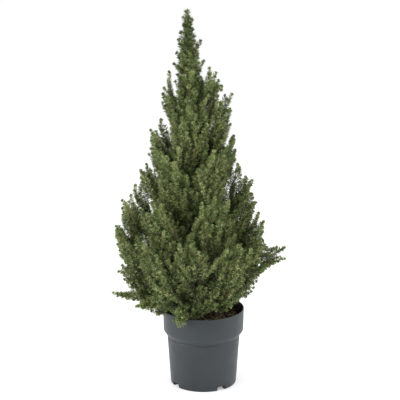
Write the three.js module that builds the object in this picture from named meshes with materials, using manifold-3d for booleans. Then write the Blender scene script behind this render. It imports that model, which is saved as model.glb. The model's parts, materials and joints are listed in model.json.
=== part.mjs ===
// A potted dwarf Alberta spruce: a dense cone of needle foliage on one leaning trunk, in a
// round plastic nursery pot with a deep collar and four drainage arches in its foot.
//
// Millimetres, +Z up. The origin is the middle of the pot's flat underside. +X is the right
// of the plant and -Y its front.
//
// The crown is built the way the tree grows. A trunk runs from the soil to the tip, boughs
// leave it in tiers, and each bough carries one plume of foliage: a lumpy body with upright
// blunt columns of shoots that stand out of its top. Neighbouring plumes part on a plane
// between their boughs, and all of them stay clear of the trunk.

import * as THREE from "three";
import { mergeVertices } from "three/addons/utils/BufferGeometryUtils.js";
import Module from "manifold-3d";

const wasm = await Module();
wasm.setup();

// ---------------------------------------------------------------- driving dimensions

const GAP = 0.4; // air between two solids that would touch

const POT = {
  rimRadius: 95,
  height: 183,
  wall: 2,
  collarFoot: 131, // height where the collar's straight band ends
  collarFootRadius: 94,
  stepFoot: 119, // height where the sloping step under the collar ends
  stepFootRadius: 85.5,
  baseRadius: 77,
  edgeRound: 4,
  footRingInner: 66,
  padRadius: 44, // flat pad in the middle of the underside
  channelRise: 5, // how far the drainage channel round the pad stands off the ground
  segments: 24,
};

const ARCH = { count: 4, width: 22, height: 10, firstAngle: -57, corner: 4 };

const SOIL = { height: 164, unevenness: 3, rings: 3 };

const TRUNK = {
  footX: -15, // the stem stands a little left of the pot's centre
  leanPerMm: -0.031, // and leans further left as it rises
  tipHeight: 852,
  footRadius: 10.5,
  tipRadius: 1.6,
  flareRadius: 6, // extra radius of the root flare at the soil
  flareHeight: 28,
  sides: 7,
  steps: 8,
};

const BOUGH = {
  rootRadius: 4.6,
  endRadius: 2.4,
  sides: 4,
  steps: 2,
  sag: 3,
  inFoliage: 0.2, // how far along its plume's route a bough ends
  stagger: [-8, 6], // every other bough of a tier leaves the trunk lower, or higher
};

// A single shoot at the crown's outline.
const SHOOT = { radius: 8.5, tipRadius: 6, dome: 6, sides: 3 };

// A column of shoots that stands up out of a plume.
const COLUMN = { radius: 15, tipRadius: 9, dome: 9, sides: 3, length: 78 };

// Where a plume's other columns stand: turned this far about the plume's tip from the outward
// direction, give or take half of turnSpread, and at a share of the girth from the tip.
const COLUMN_PLACE = {
  turns: [100, -100, 180],
  turnSpread: 36,
  aside: [0.5, 0.75],
  crownSlope: 1.5, // how much higher a column stands for each step towards the trunk
  drop: 26, // the most that a column falls short of the crown's slope
  lean: 0.3,
};

// The body of a plume. Its width follows a half sine wave from one share of it to another,
// and its lumps are shares of that width.
const BODY = {
  sides: 5,
  steps: 3,
  wave: [0.2, 0.8],
  fullness: 0.75,
  wideLump: 0.14,
  narrowLump: 0.1,
  dome: 0.35,
  shoulder: 0.85, // girths that the body ends short of the plume's tip
};

// One tier of plumes. base is the height where its boughs leave the trunk, core the clear
// distance from the trunk's axis to the foliage, girth the plume's half width, and droop how
// far the bough first runs outwards before it turns up: 0 straight, 1 flat and then upright.
// Each plume is [place, azimuth in degrees from +X towards +Y, reach from the trunk's axis
// to the tip, height of the tip], and columns counts the columns beside the one on its tip.
const TIERS = [
  {
    name: "crest", base: 606, core: 8, girth: 38, droop: 0.6, columns: 3,
    plumes: [["left", 190, 60, 706], ["right", 346, 64, 742], ["back", 92, 56, 734]],
  },
  {
    name: "upper", base: 500, core: 10, girth: 46, droop: 0.6, columns: 3,
    plumes: [
      ["left", 180, 93, 608], ["front", 268, 80, 676], ["right", 356, 86, 664], ["back", 88, 84, 656],
    ],
  },
  {
    name: "middle", base: 404, core: 12, girth: 50, droop: 0.66, columns: 3,
    plumes: [
      ["left", 179, 119, 515], ["front_left", 234, 106, 566], ["front_right", 300, 102, 578],
      ["right", 2, 98, 592], ["back", 90, 108, 562],
    ],
  },
  {
    name: "broad", base: 318, core: 18, girth: 52, droop: 0.7, columns: 3,
    plumes: [
      ["left", 178, 166, 442], ["front_left", 230, 142, 464], ["front_right", 292, 134, 476],
      ["right", 358, 138, 492], ["back_right", 52, 138, 458], ["back_left", 122, 142, 462],
    ],
  },
  {
    name: "belly", base: 248, core: 26, girth: 54, droop: 0.72, columns: 3,
    plumes: [
      ["left", 182, 182, 384], ["front_left", 226, 166, 374], ["front", 268, 158, 382],
      ["front_right", 312, 158, 370], ["right", 357, 162, 396], ["back_right", 52, 160, 374],
      ["back_left", 118, 164, 372],
    ],
  },
  {
    name: "skirt", base: 210, core: 28, girth: 45, droop: 0.75, columns: 1,
    plumes: [
      ["left", 178, 178, 322], ["front_left", 226, 154, 290], ["front", 276, 112, 272],
      ["front_right", 326, 128, 284], ["right", 10, 156, 308], ["back", 92, 146, 286],
    ],
  },
];

// Single shoots that mark the crown's outline: [the mass that carries it, azimuth, reach and
// height of its tip].
const LONG_SHOOTS = [
  ["leader_spire", 186, 24, 814], ["leader_spire", 356, 30, 812], ["leader_spire", 262, 22, 838],
  ["leader_spire", 184, 36, 760], ["leader_spire", 2, 36, 766], ["leader_spire", 80, 30, 792],
  ["leader_spire", 184, 29, 784],
  ["crest_left", 184, 46, 742], ["crest_right", 356, 76, 716], ["crest_right", 350, 48, 752],
  ["upper_right", 358, 96, 692], ["upper_left", 184, 60, 604], ["middle_right", 358, 98, 596],
  ["middle_right", 358, 90, 560], ["broad_right", 356, 106, 531], ["broad_right", 357, 122, 506],
  ["broad_right", 1, 135, 494], ["broad_left", 181, 134, 480], ["broad_left", 180, 116, 486],
  ["broad_left", 178, 150, 458], ["broad_right", 356, 147, 440],
  ["belly_left", 184, 166, 412], ["skirt_left", 180, 170, 250],
  ["skirt_right", 4, 160, 268], ["skirt_right", 354, 121, 207],
];

// Sprays that stand clear of the crown, each with its own route.
const LEFT_ARM = { from: [-130, -20, 214], bend: [-176, -24, 214], tip: [-214, -26, 226] };
const LEFT_SWAG = { from: [-96, -50, 214], bend: [-132, -62, 212], tip: [-158, -66, 206] };
const RIGHT_ARM_LOWER = { from: [132, -14, 272], bend: [162, -16, 312], tip: [191, -18, 308] };
const RIGHT_ARM_UPPER = { from: [136, -4, 300], bend: [168, -4, 342], tip: [194, -6, 325] };
const RIM_TUFT = { from: [-44, -74, 212], bend: [-56, -112, 208], tip: [-58, -114, 168] };
const RIM_TUFT_LEFT = { from: [-80, -34, 216], bend: [-104, -42, 212], tip: [-108, -44, 172] };

// The foliage keeps clear of the trunk: room times its radius, and a clearance.
const CORRIDOR = { clearance: 1.6, room: 1.35, sides: 5, steps: 3 };

// The leader narrows from its foot to its tip, the faster low down the smaller its waist is.
// Its body ends short of the tip by the bare length, which one shoot covers.
const LEADER = { base: 652, tip: 878, footGirth: 58, tipGirth: 11, waist: 0.66, bare: 14 };

// ---------------------------------------------------------------- small tools

// Repeatable random numbers from 0 to 1.
function randomFrom(seed) {
  let state = seed >>> 0;
  return () => {
    state = (state + 0x6d2b79f5) >>> 0;
    let t = state;
    t = Math.imul(t ^ (t >>> 15), t | 1);
    t ^= t + Math.imul(t ^ (t >>> 7), t | 61);
    return ((t ^ (t >>> 14)) >>> 0) / 4294967296;
  };
}

const vec = (x, y, z) => new THREE.Vector3(x, y, z);
const radians = THREE.MathUtils.degToRad;
const lerp = THREE.MathUtils.lerp;

// The trunk's axis at a height.
function axisAt(z) {
  return vec(TRUNK.footX + TRUNK.leanPerMm * (z - SOIL.height), 0, z);
}

// A point at an azimuth and a distance from the trunk's axis.
function around(z, azimuth, reach) {
  const a = radians(azimuth);
  return axisAt(z).add(vec(reach * Math.cos(a), reach * Math.sin(a), 0));
}

// A three.js geometry as a manifold-3d solid.
function solidOf(geometry) {
  const bare = geometry.clone();
  bare.deleteAttribute("normal");
  bare.deleteAttribute("uv");
  const merged = mergeVertices(bare, 1e-3);
  return new wasm.Manifold(
    new wasm.Mesh({
      numProp: 3,
      vertProperties: merged.attributes.position.array,
      triVerts: new Uint32Array(merged.index.array),
    }),
  );
}

// A manifold-3d solid as a three.js geometry.
function geometryOf(solid) {
  const mesh = solid.getMesh();
  const positions = new Float32Array(mesh.numVert * 3);
  for (let i = 0; i < mesh.numVert; i++) {
    positions.set(mesh.vertProperties.subarray(i * mesh.numProp, i * mesh.numProp + 3), i * 3);
  }
  const geometry = new THREE.BufferGeometry();
  geometry.setAttribute("position", new THREE.BufferAttribute(positions, 3));
  geometry.setIndex(new THREE.BufferAttribute(mesh.triVerts, 1));
  return geometry;
}

// The largest of a solid's separate bodies.
function largest(solid) {
  return solid.decompose().reduce((a, b) => (b.volume() > a.volume() ? b : a));
}

// A round bar bent along a curve. radiusAt(t, angle) is its radius, and dome pushes the
// middle of its far end out to a point.
function sweep(curve, radiusAt, sides, steps, dome = 0) {
  const bar = new THREE.CylinderGeometry(1, 1, 1, sides, steps);
  const frames = curve.computeFrenetFrames(steps, false);
  const place = bar.getAttribute("position");
  for (let i = 0; i < place.count; i++) {
    const t = place.getY(i) + 0.5;
    const step = Math.round(t * steps);
    const [x, z] = [place.getX(i), place.getZ(i)];
    const onAxis = Math.hypot(x, z) < 0.5;
    const radius = onAxis ? 0 : radiusAt(t, Math.atan2(z, x));
    const at = curve.getPointAt(t);
    at.addScaledVector(frames.normals[step], x * radius);
    at.addScaledVector(frames.binormals[step], -z * radius);
    if (onAxis && t > 0.5) at.addScaledVector(frames.tangents[step], dome);
    place.setXYZ(i, at.x, at.y, at.z);
  }
  return bar;
}

// Straight from a to b, or bent through the point bend.
function route(a, b, bend) {
  return bend ? new THREE.QuadraticBezierCurve3(a, bend, b) : new THREE.LineCurve3(a, b);
}

// One shoot or column that stands out of a plume, from its root to its blunt tip.
function shoot(root, tip, { radius, tipRadius, dome, sides } = SHOOT) {
  const end = tip.clone().sub(root);
  end.setLength(end.length() - dome).add(root);
  const taper = (t) => lerp(radius, tipRadius, t);
  return solidOf(sweep(route(root, end), taper, sides, 1, dome));
}

// ---------------------------------------------------------------- pot and soil

// The wall's outside, from the foot to the rim, moved in by a wall thickness.
function wallProfile(inset) {
  return [
    [POT.baseRadius - inset, POT.edgeRound],
    [POT.stepFootRadius - inset, POT.stepFoot],
    [POT.collarFootRadius - inset, POT.collarFoot],
    [POT.rimRadius - inset, POT.height],
  ];
}

function potShell() {
  const { baseRadius, edgeRound, wall, channelRise, padRadius, footRingInner, height } = POT;
  const floorTop = channelRise + wall;
  const slope = 3; // run of the short slopes either side of the channel
  const edge = [25, 65].map((degrees) => [
    baseRadius - edgeRound + edgeRound * Math.sin(radians(degrees)),
    edgeRound - edgeRound * Math.cos(radians(degrees)),
  ]);
  const outside = [
    [0, 0],
    [padRadius, 0],
    [padRadius + slope, channelRise],
    [footRingInner - slope, channelRise],
    [footRingInner, 0],
    ...edge,
    ...wallProfile(0),
  ];
  const [rimOut] = wallProfile(0).slice(-1);
  const lip = [rimOut[0] - wall / 2, height + wall / 2];
  const inside = wallProfile(wall).slice(1).reverse();
  const floor = [
    [baseRadius - wall, floorTop],
    [padRadius + slope, floorTop],
    [padRadius - 1, wall],
    [0, wall],
  ];
  const profile = [...outside, lip, ...inside, ...floor].map(([r, z]) => new THREE.Vector2(r, z));
  const lathe = new THREE.LatheGeometry(profile, POT.segments);
  lathe.rotateX(Math.PI / 2);
  return solidOf(lathe);
}

// A low arch that lets water out at the foot of the wall, along +X.
function archCutter() {
  const { width, height, corner } = ARCH;
  const below = 2;
  const outline = new THREE.Shape();
  outline.moveTo(-width / 2, -below);
  outline.lineTo(width / 2, -below);
  outline.lineTo(width / 2, height - corner);
  outline.quadraticCurveTo(width / 2, height, width / 2 - corner, height);
  outline.lineTo(corner - width / 2, height);
  outline.quadraticCurveTo(-width / 2, height, -width / 2, height - corner);
  const depth = POT.baseRadius - POT.footRingInner + 12;
  const block = new THREE.ExtrudeGeometry(outline, { depth, bevelEnabled: false, curveSegments: 3 });
  block.rotateX(Math.PI / 2);
  block.rotateZ(Math.PI / 2);
  block.translate(POT.footRingInner - 6, 0, 0);
  return block;
}

function pot() {
  let shell = potShell();
  for (let i = 0; i < ARCH.count; i++) {
    const turn = ARCH.firstAngle - 90 + (i * 360) / ARCH.count;
    shell = shell.subtract(solidOf(archCutter().rotateZ(radians(turn))));
  }
  return shell;
}

// The root ball and its peat: it fills the pot and has an uneven top.
function soil() {
  const inside = wallProfile(POT.wall + GAP);
  const floorTop = POT.channelRise + POT.wall + GAP;
  const [bottom, step, collar, rim] = inside;
  const share = (SOIL.height - collar[1]) / (rim[1] - collar[1]);
  const edge = lerp(collar[0], rim[0], share);
  const top = [];
  for (let i = 1; i < SOIL.rings; i++) top.push([edge * (1 - i / SOIL.rings), SOIL.height]);
  const profile = [
    [0, floorTop], [bottom[0], floorTop], step, collar, [edge, SOIL.height], ...top, [0, SOIL.height],
  ].map(([r, z]) => new THREE.Vector2(r, z));
  const lathe = new THREE.LatheGeometry(profile, POT.segments);
  lathe.rotateX(Math.PI / 2);
  const place = lathe.getAttribute("position");
  for (let i = 0; i < place.count; i++) {
    const [x, y, z] = [place.getX(i), place.getY(i), place.getZ(i)];
    const fromStem = Math.hypot(x - TRUNK.footX, y);
    if (z < SOIL.height - 0.01 || Math.hypot(x, y) > edge - 1) continue;
    const waves = Math.sin(x / 13 + 1) * Math.cos(y / 17) + 0.5 * Math.sin((x - y) / 9);
    const calm = Math.min(1, Math.max(0, (fromStem - 30) / 20)); // level under the stem
    place.setZ(i, z - SOIL.unevenness * calm * (0.75 + 0.5 * waves));
  }
  return solidOf(lathe);
}

// ---------------------------------------------------------------- trunk and boughs

function trunkRadius(z) {
  const rise = (z - SOIL.height) / (TRUNK.tipHeight - SOIL.height);
  const flare = TRUNK.flareRadius * Math.exp(-(z - SOIL.height) / (TRUNK.flareHeight / 2));
  return lerp(TRUNK.footRadius, TRUNK.tipRadius, Math.pow(rise, 0.85)) + flare;
}

// The trunk, or a corridor round it that is wider by a clearance.
function trunk(clearance = 0) {
  const foot = SOIL.height + GAP;
  const curve = route(axisAt(foot), axisAt(TRUNK.tipHeight + clearance));
  const radiusAt = (t, angle) => {
    const z = lerp(foot, TRUNK.tipHeight, t);
    const ridges = 1 + 0.16 * Math.sin(3 * angle) * Math.exp((SOIL.height - z) / 20);
    return trunkRadius(z) * ridges + clearance;
  };
  const stem = sweep(curve, radiusAt, TRUNK.sides, TRUNK.steps);
  const place = stem.getAttribute("position");
  for (let i = 0; i < place.count; i++) {
    if (place.getZ(i) < foot + 2) place.setZ(i, foot); // the cut at the foot is level
  }
  return solidOf(stem);
}

// One bough, from the trunk out to where it enters the foliage. Every other bough of a tier
// leaves the trunk higher up, so that they clear each other.
function bough(tier, plume, masses) {
  const [, azimuth] = plume;
  const rise = BOUGH.stagger[tier.plumes.indexOf(plume) % 2];
  const root = around(tier.base + rise, azimuth, trunkRadius(tier.base) + GAP + 0.6);
  const end = plumeRoute(tier, plume).getPointAt(BOUGH.inFoliage);
  const bend = root.clone().lerp(end, 0.5).add(vec(0, 0, -BOUGH.sag));
  const taper = (t) => lerp(BOUGH.rootRadius, BOUGH.endRadius, t);
  let limb = solidOf(sweep(route(root, end, bend), taper, BOUGH.sides, BOUGH.steps));
  const back = root.clone().sub(end).setLength(GAP);
  for (const mass of masses) {
    limb = limb.subtract(mass).subtract(mass.translate([back.x, back.y, back.z]));
  }
  limb = limb.subtract(trunk(GAP));
  const distance = (body) => {
    const { min, max } = body.boundingBox();
    return root.clone().clamp(vec(...min), vec(...max)).distanceTo(root);
  };
  return limb.decompose().reduce((a, b) => (distance(b) < distance(a) ? b : a));
}

// ---------------------------------------------------------------- foliage

// The line that a plume follows: out from the trunk, then up to its tip.
function plumeRoute({ base, core, girth, droop }, [, azimuth, reach, height]) {
  const turnReach = lerp((core + reach) / 2, reach - girth, droop);
  const turnHeight = lerp((base + height) / 2, base, droop);
  const bend = around(turnHeight, azimuth, turnReach);
  return route(around(base, azimuth, core), around(height, azimuth, reach), bend);
}

// A lumpy body along a route, and the columns that stand up from it: one on the route itself,
// and the others to its sides and towards the trunk, where they rise higher.
function plume(curve, girth, columns, seed) {
  const random = randomFrom(seed);
  const phase = [random(), random()].map((r) => r * 2 * Math.PI);
  const widthAt = (t) => girth * Math.pow(Math.sin(Math.PI * lerp(...BODY.wave, t)), BODY.fullness);
  const radiusAt = (t, angle) => {
    const wide = BODY.wideLump * Math.sin(2 * angle + phase[0] + 5 * t);
    const narrow = BODY.narrowLump * Math.sin(3 * angle + phase[1] - 9 * t);
    return widthAt(t) * (1 + wide + narrow);
  };
  const tip = curve.getPointAt(1);
  const shoulder = Math.max(0.6, 1 - (BODY.shoulder * girth) / curve.getLength());
  const shares = [0, 0.25, 0.5, 0.75, 1].map((share) => share * shoulder);
  const body = new THREE.CatmullRomCurve3(shares.map((share) => curve.getPointAt(share)));
  let mass = solidOf(sweep(body, radiusAt, BODY.sides, BODY.steps, BODY.dome * girth));
  mass = mass.add(shoot(curve.getPointAt(shoulder - 0.15), tip, columns ? COLUMN : SHOOT));

  const { turns, turnSpread, aside, crownSlope, drop, lean } = COLUMN_PLACE;
  const outward = tip.clone().sub(curve.getPointAt(0)).setZ(0).normalize();
  for (const turn of turns.slice(0, columns)) {
    const angle = radians(turn + turnSpread * (random() - 0.5));
    const side = outward.clone().applyAxisAngle(vec(0, 0, 1), angle);
    const away = girth * lerp(...aside, random());
    const inward = -side.dot(outward) * away;
    const rise = crownSlope * inward - drop * random();
    const top = tip.clone().addScaledVector(side, away).add(vec(0, 0, rise));
    const down = vec(0, 0, -1).addScaledVector(outward, -lean).setLength(COLUMN.length);
    mass = mass.add(shoot(top.clone().add(down), top, COLUMN));
  }
  return mass;
}

// The leader: a spire round the trunk's tip, wide at its foot.
function leader() {
  const { base, tip, footGirth, tipGirth, waist, bare } = LEADER;
  const curve = route(axisAt(base), axisAt(tip - bare));
  const widthAt = (t, angle) => {
    const lumps = 1 + 0.12 * Math.sin(2 * angle + 7 * t) + 0.1 * Math.sin(3 * angle - 11 * t);
    return lerp(footGirth, tipGirth, Math.pow(t, waist)) * lumps;
  };
  const spire = solidOf(sweep(curve, widthAt, 7, 5, 5));
  return spire.add(shoot(axisAt(tip - 50), axisAt(tip)));
}

// Adds to a mass the long shoots that it carries. Each rises from the mass's own route.
function addLongShoots(mass) {
  for (const [carrier, azimuth, reach, height] of LONG_SHOOTS) {
    if (carrier !== mass.name) continue;
    const tip = around(height, azimuth, reach);
    const roots = [0.3, 0.4, 0.5, 0.6, 0.7, 0.8].map((t) => mass.curve.getPointAt(t));
    const rise = (root) => Math.abs(height - 0.85 * tip.distanceTo(root) - root.z);
    const root = roots.reduce((a, b) => (rise(b) < rise(a) ? b : a));
    mass.solid = mass.solid.add(shoot(root, tip));
    mass.marks.push(tip);
  }
}

// The plane that keeps two masses' marks furthest apart, as its normal and its distance from
// the origin. It lies nearer to the slimmer mass.
function partingPlane(a, b) {
  const tries = 400;
  let best = { margin: -Infinity };
  for (let i = 0; i < tries; i++) {
    const z = 1 - (2 * i + 1) / tries;
    const turn = i * Math.PI * (3 - Math.sqrt(5));
    const across = Math.sqrt(1 - z * z);
    const normal = vec(across * Math.cos(turn), across * Math.sin(turn), z);
    const end = Math.max(...a.marks.map((p) => p.dot(normal)));
    const start = Math.min(...b.marks.map((p) => p.dot(normal)));
    if (start - end <= best.margin) continue;
    const middle = lerp(end, start, a.girth / (a.girth + b.girth));
    best = { margin: start - end, normal: normal.toArray(), middle };
  }
  return best;
}

// A plain corridor round the trunk that all foliage stays out of.
function corridor() {
  const foot = SOIL.height + GAP;
  const curve = route(axisAt(foot), axisAt(TRUNK.tipHeight + CORRIDOR.clearance));
  const radiusAt = (t) => CORRIDOR.clearance + CORRIDOR.room * trunkRadius(lerp(foot, TRUNK.tipHeight, t));
  return solidOf(sweep(curve, radiusAt, CORRIDOR.sides, CORRIDOR.steps));
}

// Parts every two masses that overlap, with a gap between them.
function partNeighbours(masses) {
  masses.forEach((a, i) => {
    masses.slice(i + 1).forEach((b) => {
      if (a.solid.intersect(b.solid).volume() < 0.01) return;
      const { normal, middle } = partingPlane(a, b);
      const back = normal.map((c) => -c);
      b.solid = b.solid.trimByPlane(normal, middle + GAP / 2);
      a.solid = a.solid.trimByPlane(back, GAP / 2 - middle);
    });
  });
}

// Every mass of foliage, parted from its neighbours, the trunk, the soil and the pot.
function foliage() {
  const masses = [];
  const add = (name, curve, girth, solid) => {
    masses.push({ name, curve, girth, solid, marks: curve.getSpacedPoints(10) });
  };
  const leaderRoute = route(axisAt(LEADER.base), axisAt(LEADER.tip));
  add("leader_spire", leaderRoute, LEADER.footGirth, leader());
  TIERS.forEach((tier, row) => {
    tier.plumes.forEach((each, i) => {
      const curve = plumeRoute(tier, each);
      const solid = plume(curve, tier.girth, tier.columns, 100 * row + i + 1);
      add(tier.name + "_" + each[0], curve, tier.girth, solid);
    });
  });
  const sprays = [
    ["left_arm", LEFT_ARM, 13], ["left_swag", LEFT_SWAG, 18],
    ["right_arm_lower", RIGHT_ARM_LOWER, 11], ["right_arm_upper", RIGHT_ARM_UPPER, 9],
    ["rim_tuft", RIM_TUFT, 17], ["rim_tuft_left", RIM_TUFT_LEFT, 13],
  ];
  sprays.forEach(([name, { from, bend, tip }, girth], i) => {
    const curve = route(vec(...from), vec(...tip), vec(...bend));
    add(name, curve, girth, plume(curve, girth, 0, 900 + i));
  });
  masses.forEach(addLongShoots);
  partNeighbours(masses);
  const keepOut = corridor().add(potBlock());
  for (const mass of masses) mass.solid = largest(mass.solid.subtract(keepOut));
  return masses;
}

// The room that the pot takes up to just over its rim, for cutting foliage.
function potBlock() {
  const top = POT.height + 3;
  const outside = wallProfile(-GAP).slice(1);
  const [rim] = outside.slice(-1);
  const profile = [[0, 0], [outside[0][0], 0], ...outside, [rim[0], top], [0, top]];
  const points = profile.map(([r, z]) => new THREE.Vector2(r, z));
  return solidOf(new THREE.LatheGeometry(points, POT.segments).rotateX(Math.PI / 2));
}

// ---------------------------------------------------------------- the whole plant

const plastic = new THREE.MeshStandardMaterial({ color: 0x50575b, roughness: 0.5, metalness: 0 });
const peat = new THREE.MeshStandardMaterial({ color: 0x1e1a14, roughness: 1, metalness: 0 });
const bark = new THREE.MeshStandardMaterial({ color: 0x6b5a42, roughness: 0.9, metalness: 0 });
const needles = new THREE.MeshStandardMaterial({ color: 0x50603a, roughness: 0.75, metalness: 0 });

const plant = new THREE.Group();

function addNode(name, solid, material) {
  const mesh = new THREE.Mesh(geometryOf(solid), material);
  mesh.name = name;
  plant.add(mesh);
}

addNode("pot", pot(), plastic);
addNode("soil", soil(), peat);
addNode("trunk", trunk(), bark);

const masses = foliage();
for (const { name, solid } of masses) addNode(name, solid, needles);

const solids = masses.map(({ solid }) => solid);
for (const tier of TIERS.slice(-3)) {
  for (const each of tier.plumes) {
    addNode("bough_" + tier.name + "_" + each[0], bough(tier, each, solids), bark);
  }
}

export default plant;
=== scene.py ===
"""A potted dwarf Alberta spruce.

The stem, its boughs and the limbs inside the crown are one piece of bark. Shoots grow on from
them by a seeded rule: each young tip looks for the nearest wood below it, joins it with a bent
twig, and leaves new wood for the next. Every shoot carries a brush of needles. The pot is turned
from its profile, and the peat lies in it with crumbs and fallen needles on top.
"""

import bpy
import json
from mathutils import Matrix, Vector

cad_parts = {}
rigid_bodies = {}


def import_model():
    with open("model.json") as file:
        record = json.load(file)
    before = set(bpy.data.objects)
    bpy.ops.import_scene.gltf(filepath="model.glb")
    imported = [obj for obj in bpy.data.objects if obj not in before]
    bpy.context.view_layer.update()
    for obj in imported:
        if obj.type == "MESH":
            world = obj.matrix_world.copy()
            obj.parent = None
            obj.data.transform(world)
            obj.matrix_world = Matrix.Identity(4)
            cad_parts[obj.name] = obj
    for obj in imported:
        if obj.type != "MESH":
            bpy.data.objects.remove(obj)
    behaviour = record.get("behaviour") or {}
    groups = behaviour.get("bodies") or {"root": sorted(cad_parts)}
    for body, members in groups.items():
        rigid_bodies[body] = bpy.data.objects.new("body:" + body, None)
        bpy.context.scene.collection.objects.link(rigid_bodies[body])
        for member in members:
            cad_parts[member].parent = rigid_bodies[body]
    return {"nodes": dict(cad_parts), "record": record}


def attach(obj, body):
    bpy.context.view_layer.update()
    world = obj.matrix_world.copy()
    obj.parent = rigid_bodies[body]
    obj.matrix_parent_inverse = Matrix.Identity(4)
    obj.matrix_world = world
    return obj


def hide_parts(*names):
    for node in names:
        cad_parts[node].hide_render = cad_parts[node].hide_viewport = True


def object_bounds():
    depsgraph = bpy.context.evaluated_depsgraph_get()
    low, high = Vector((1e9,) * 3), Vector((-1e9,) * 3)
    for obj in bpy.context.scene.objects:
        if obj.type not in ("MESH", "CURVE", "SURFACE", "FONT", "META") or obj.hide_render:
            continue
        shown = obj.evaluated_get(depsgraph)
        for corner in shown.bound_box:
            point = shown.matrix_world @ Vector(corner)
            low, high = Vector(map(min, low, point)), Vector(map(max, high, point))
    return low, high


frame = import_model()
cad_box = [list(corner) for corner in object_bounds()]

import json
import math

import bmesh
import bpy
import numpy as np
from mathutils import Vector
from mathutils.bvhtree import BVHTree

MM = 0.001
GOLDEN = math.pi * (3 - math.sqrt(5))
DOWN = (0, 0, -1.0)
rng = np.random.default_rng(20)

# ------------------------------------------------------------------ camera, light and floor

CAMERA_PLACE = (-8.2 * MM, -3000 * MM, 1201 * MM)
CAMERA_PITCH = 75.8  # degrees up from looking straight down
LENS = 121.1


def add_camera():
    bpy.ops.object.camera_add(location=CAMERA_PLACE, rotation=(math.radians(CAMERA_PITCH), 0, 0))
    camera = bpy.context.object
    camera.data.lens = LENS
    camera.data.sensor_width = 36
    bpy.context.scene.camera = camera


def add_light(name, place, aim, size, watts):
    """A soft box: a square area light at place, turned towards aim."""
    bpy.ops.object.light_add(type="AREA", location=place)
    lamp = bpy.context.object
    lamp.name = name
    lamp.data.size = size
    lamp.data.energy = watts
    lamp.rotation_euler = (Vector(aim) - Vector(place)).to_track_quat("-Z", "Y").to_euler()


FRONT_SKY, BACK_SKY = 0.36, 0.98  # how bright the room is before the plant and behind it
SKY_FADE = (-1, 0.4)  # the ways, as a share of straight back, between which it brightens


def add_room():
    """A pale room, dimmer on the side that the plant is seen from."""
    world = bpy.data.worlds.new("pale_room")
    bpy.context.scene.world = world
    world.use_nodes = True
    tree = world.node_tree
    way = tree.nodes.new("ShaderNodeTexCoord")
    parts = tree.nodes.new("ShaderNodeSeparateXYZ")
    fade = tree.nodes.new("ShaderNodeMapRange")
    fade.interpolation_type = "SMOOTHSTEP"
    ends = (*SKY_FADE, FRONT_SKY, BACK_SKY)
    for name, value in zip(("From Min", "From Max", "To Min", "To Max"), ends):
        fade.inputs[name].default_value = value
    sky = tree.nodes["Background"]
    sky.inputs["Color"].default_value = (1, 1, 1, 1)
    tree.links.new(way.outputs["Generated"], parts.inputs["Vector"])
    tree.links.new(parts.outputs["Y"], fade.inputs["Value"])
    tree.links.new(fade.outputs["Result"], sky.inputs["Strength"])


def add_studio():
    middle = (0, 0, 0.4)
    add_light("left_softbox", (-2.1, -1.0, 1.4), middle, 1.5, 40)
    add_light("right_softbox", (2.2, -0.8, 1.3), middle, 1.5, 28)
    add_light("front_softbox", (-0.5, -3.2, 2.4), middle, 1.2, 6.5)
    add_light("top_softbox", (-0.2, -0.3, 2.7), middle, 1.4, 24)
    add_room()
    bpy.context.scene.view_settings.view_transform = "Standard"
    bpy.ops.mesh.primitive_plane_add(size=40)
    floor = bpy.context.object
    floor.name = "floor"
    paint = new_material("floor_white")
    paint.inputs["Base Color"].default_value = (0.86, 0.86, 0.86, 1)
    paint.inputs["Roughness"].default_value = 0.9
    paint.inputs["Emission Color"].default_value = (1, 1, 1, 1)
    paint.inputs["Emission Strength"].default_value = 0.32
    floor.data.materials.append(bpy.data.materials["floor_white"])


# ------------------------------------------------------------------ materials


def new_material(name):
    """A new material of that name. Returns its shader."""
    material = bpy.data.materials.new(name)
    material.use_nodes = True
    return material.node_tree.nodes["Principled BSDF"]


def srgb(red, green, blue):
    """A colour given in the usual 0 to 255, as the linear colour that a shader takes."""
    values = []
    for value in (red, green, blue):
        value /= 255
        values.append(value / 12.92 if value <= 0.04045 else ((value + 0.055) / 1.055) ** 2.4)
    return (*values, 1)


class Nodes:
    """A short way to lay out one material's nodes."""

    def __init__(self, name):
        self.shader = new_material(name)
        self.tree = bpy.data.materials[name].node_tree

    def add(self, kind, **settings):
        node = self.tree.nodes.new(kind)
        for key, value in settings.items():
            if hasattr(node, key):
                setattr(node, key, value)
            else:
                node.inputs[key.replace("_", " ")].default_value = value
        return node

    def link(self, start, end):
        self.tree.links.new(start, end)

    def place(self, stretch=(1, 1, 1)):
        """Object coordinates, stretched."""
        where = self.add("ShaderNodeTexCoord")
        mapping = self.add("ShaderNodeMapping")
        mapping.inputs["Scale"].default_value = stretch
        self.link(where.outputs["Object"], mapping.inputs["Vector"])
        return mapping.outputs["Vector"]

    def noise(self, place, scale, detail=4.0, roughness=0.6):
        noise = self.add("ShaderNodeTexNoise", Scale=scale, Detail=detail, Roughness=roughness)
        self.link(place, noise.inputs["Vector"])
        return noise.outputs["Fac"]

    def ramp(self, value, *stops):
        """Colours along a value: each stop is (place, colour)."""
        ramp = self.add("ShaderNodeValToRGB")
        elements = ramp.color_ramp.elements
        while len(elements) < len(stops):
            elements.new(0.5)
        for element, (place, colour) in zip(elements, stops):
            element.position = place
            element.color = colour
        self.link(value, ramp.inputs["Fac"])
        return ramp.outputs["Color"]

    def bump(self, height, distance, strength, below=None):
        bump = self.add("ShaderNodeBump", Strength=strength, Distance=distance)
        self.link(height, bump.inputs["Height"])
        if below is not None:
            self.link(below, bump.inputs["Normal"])
        return bump.outputs["Normal"]


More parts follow.
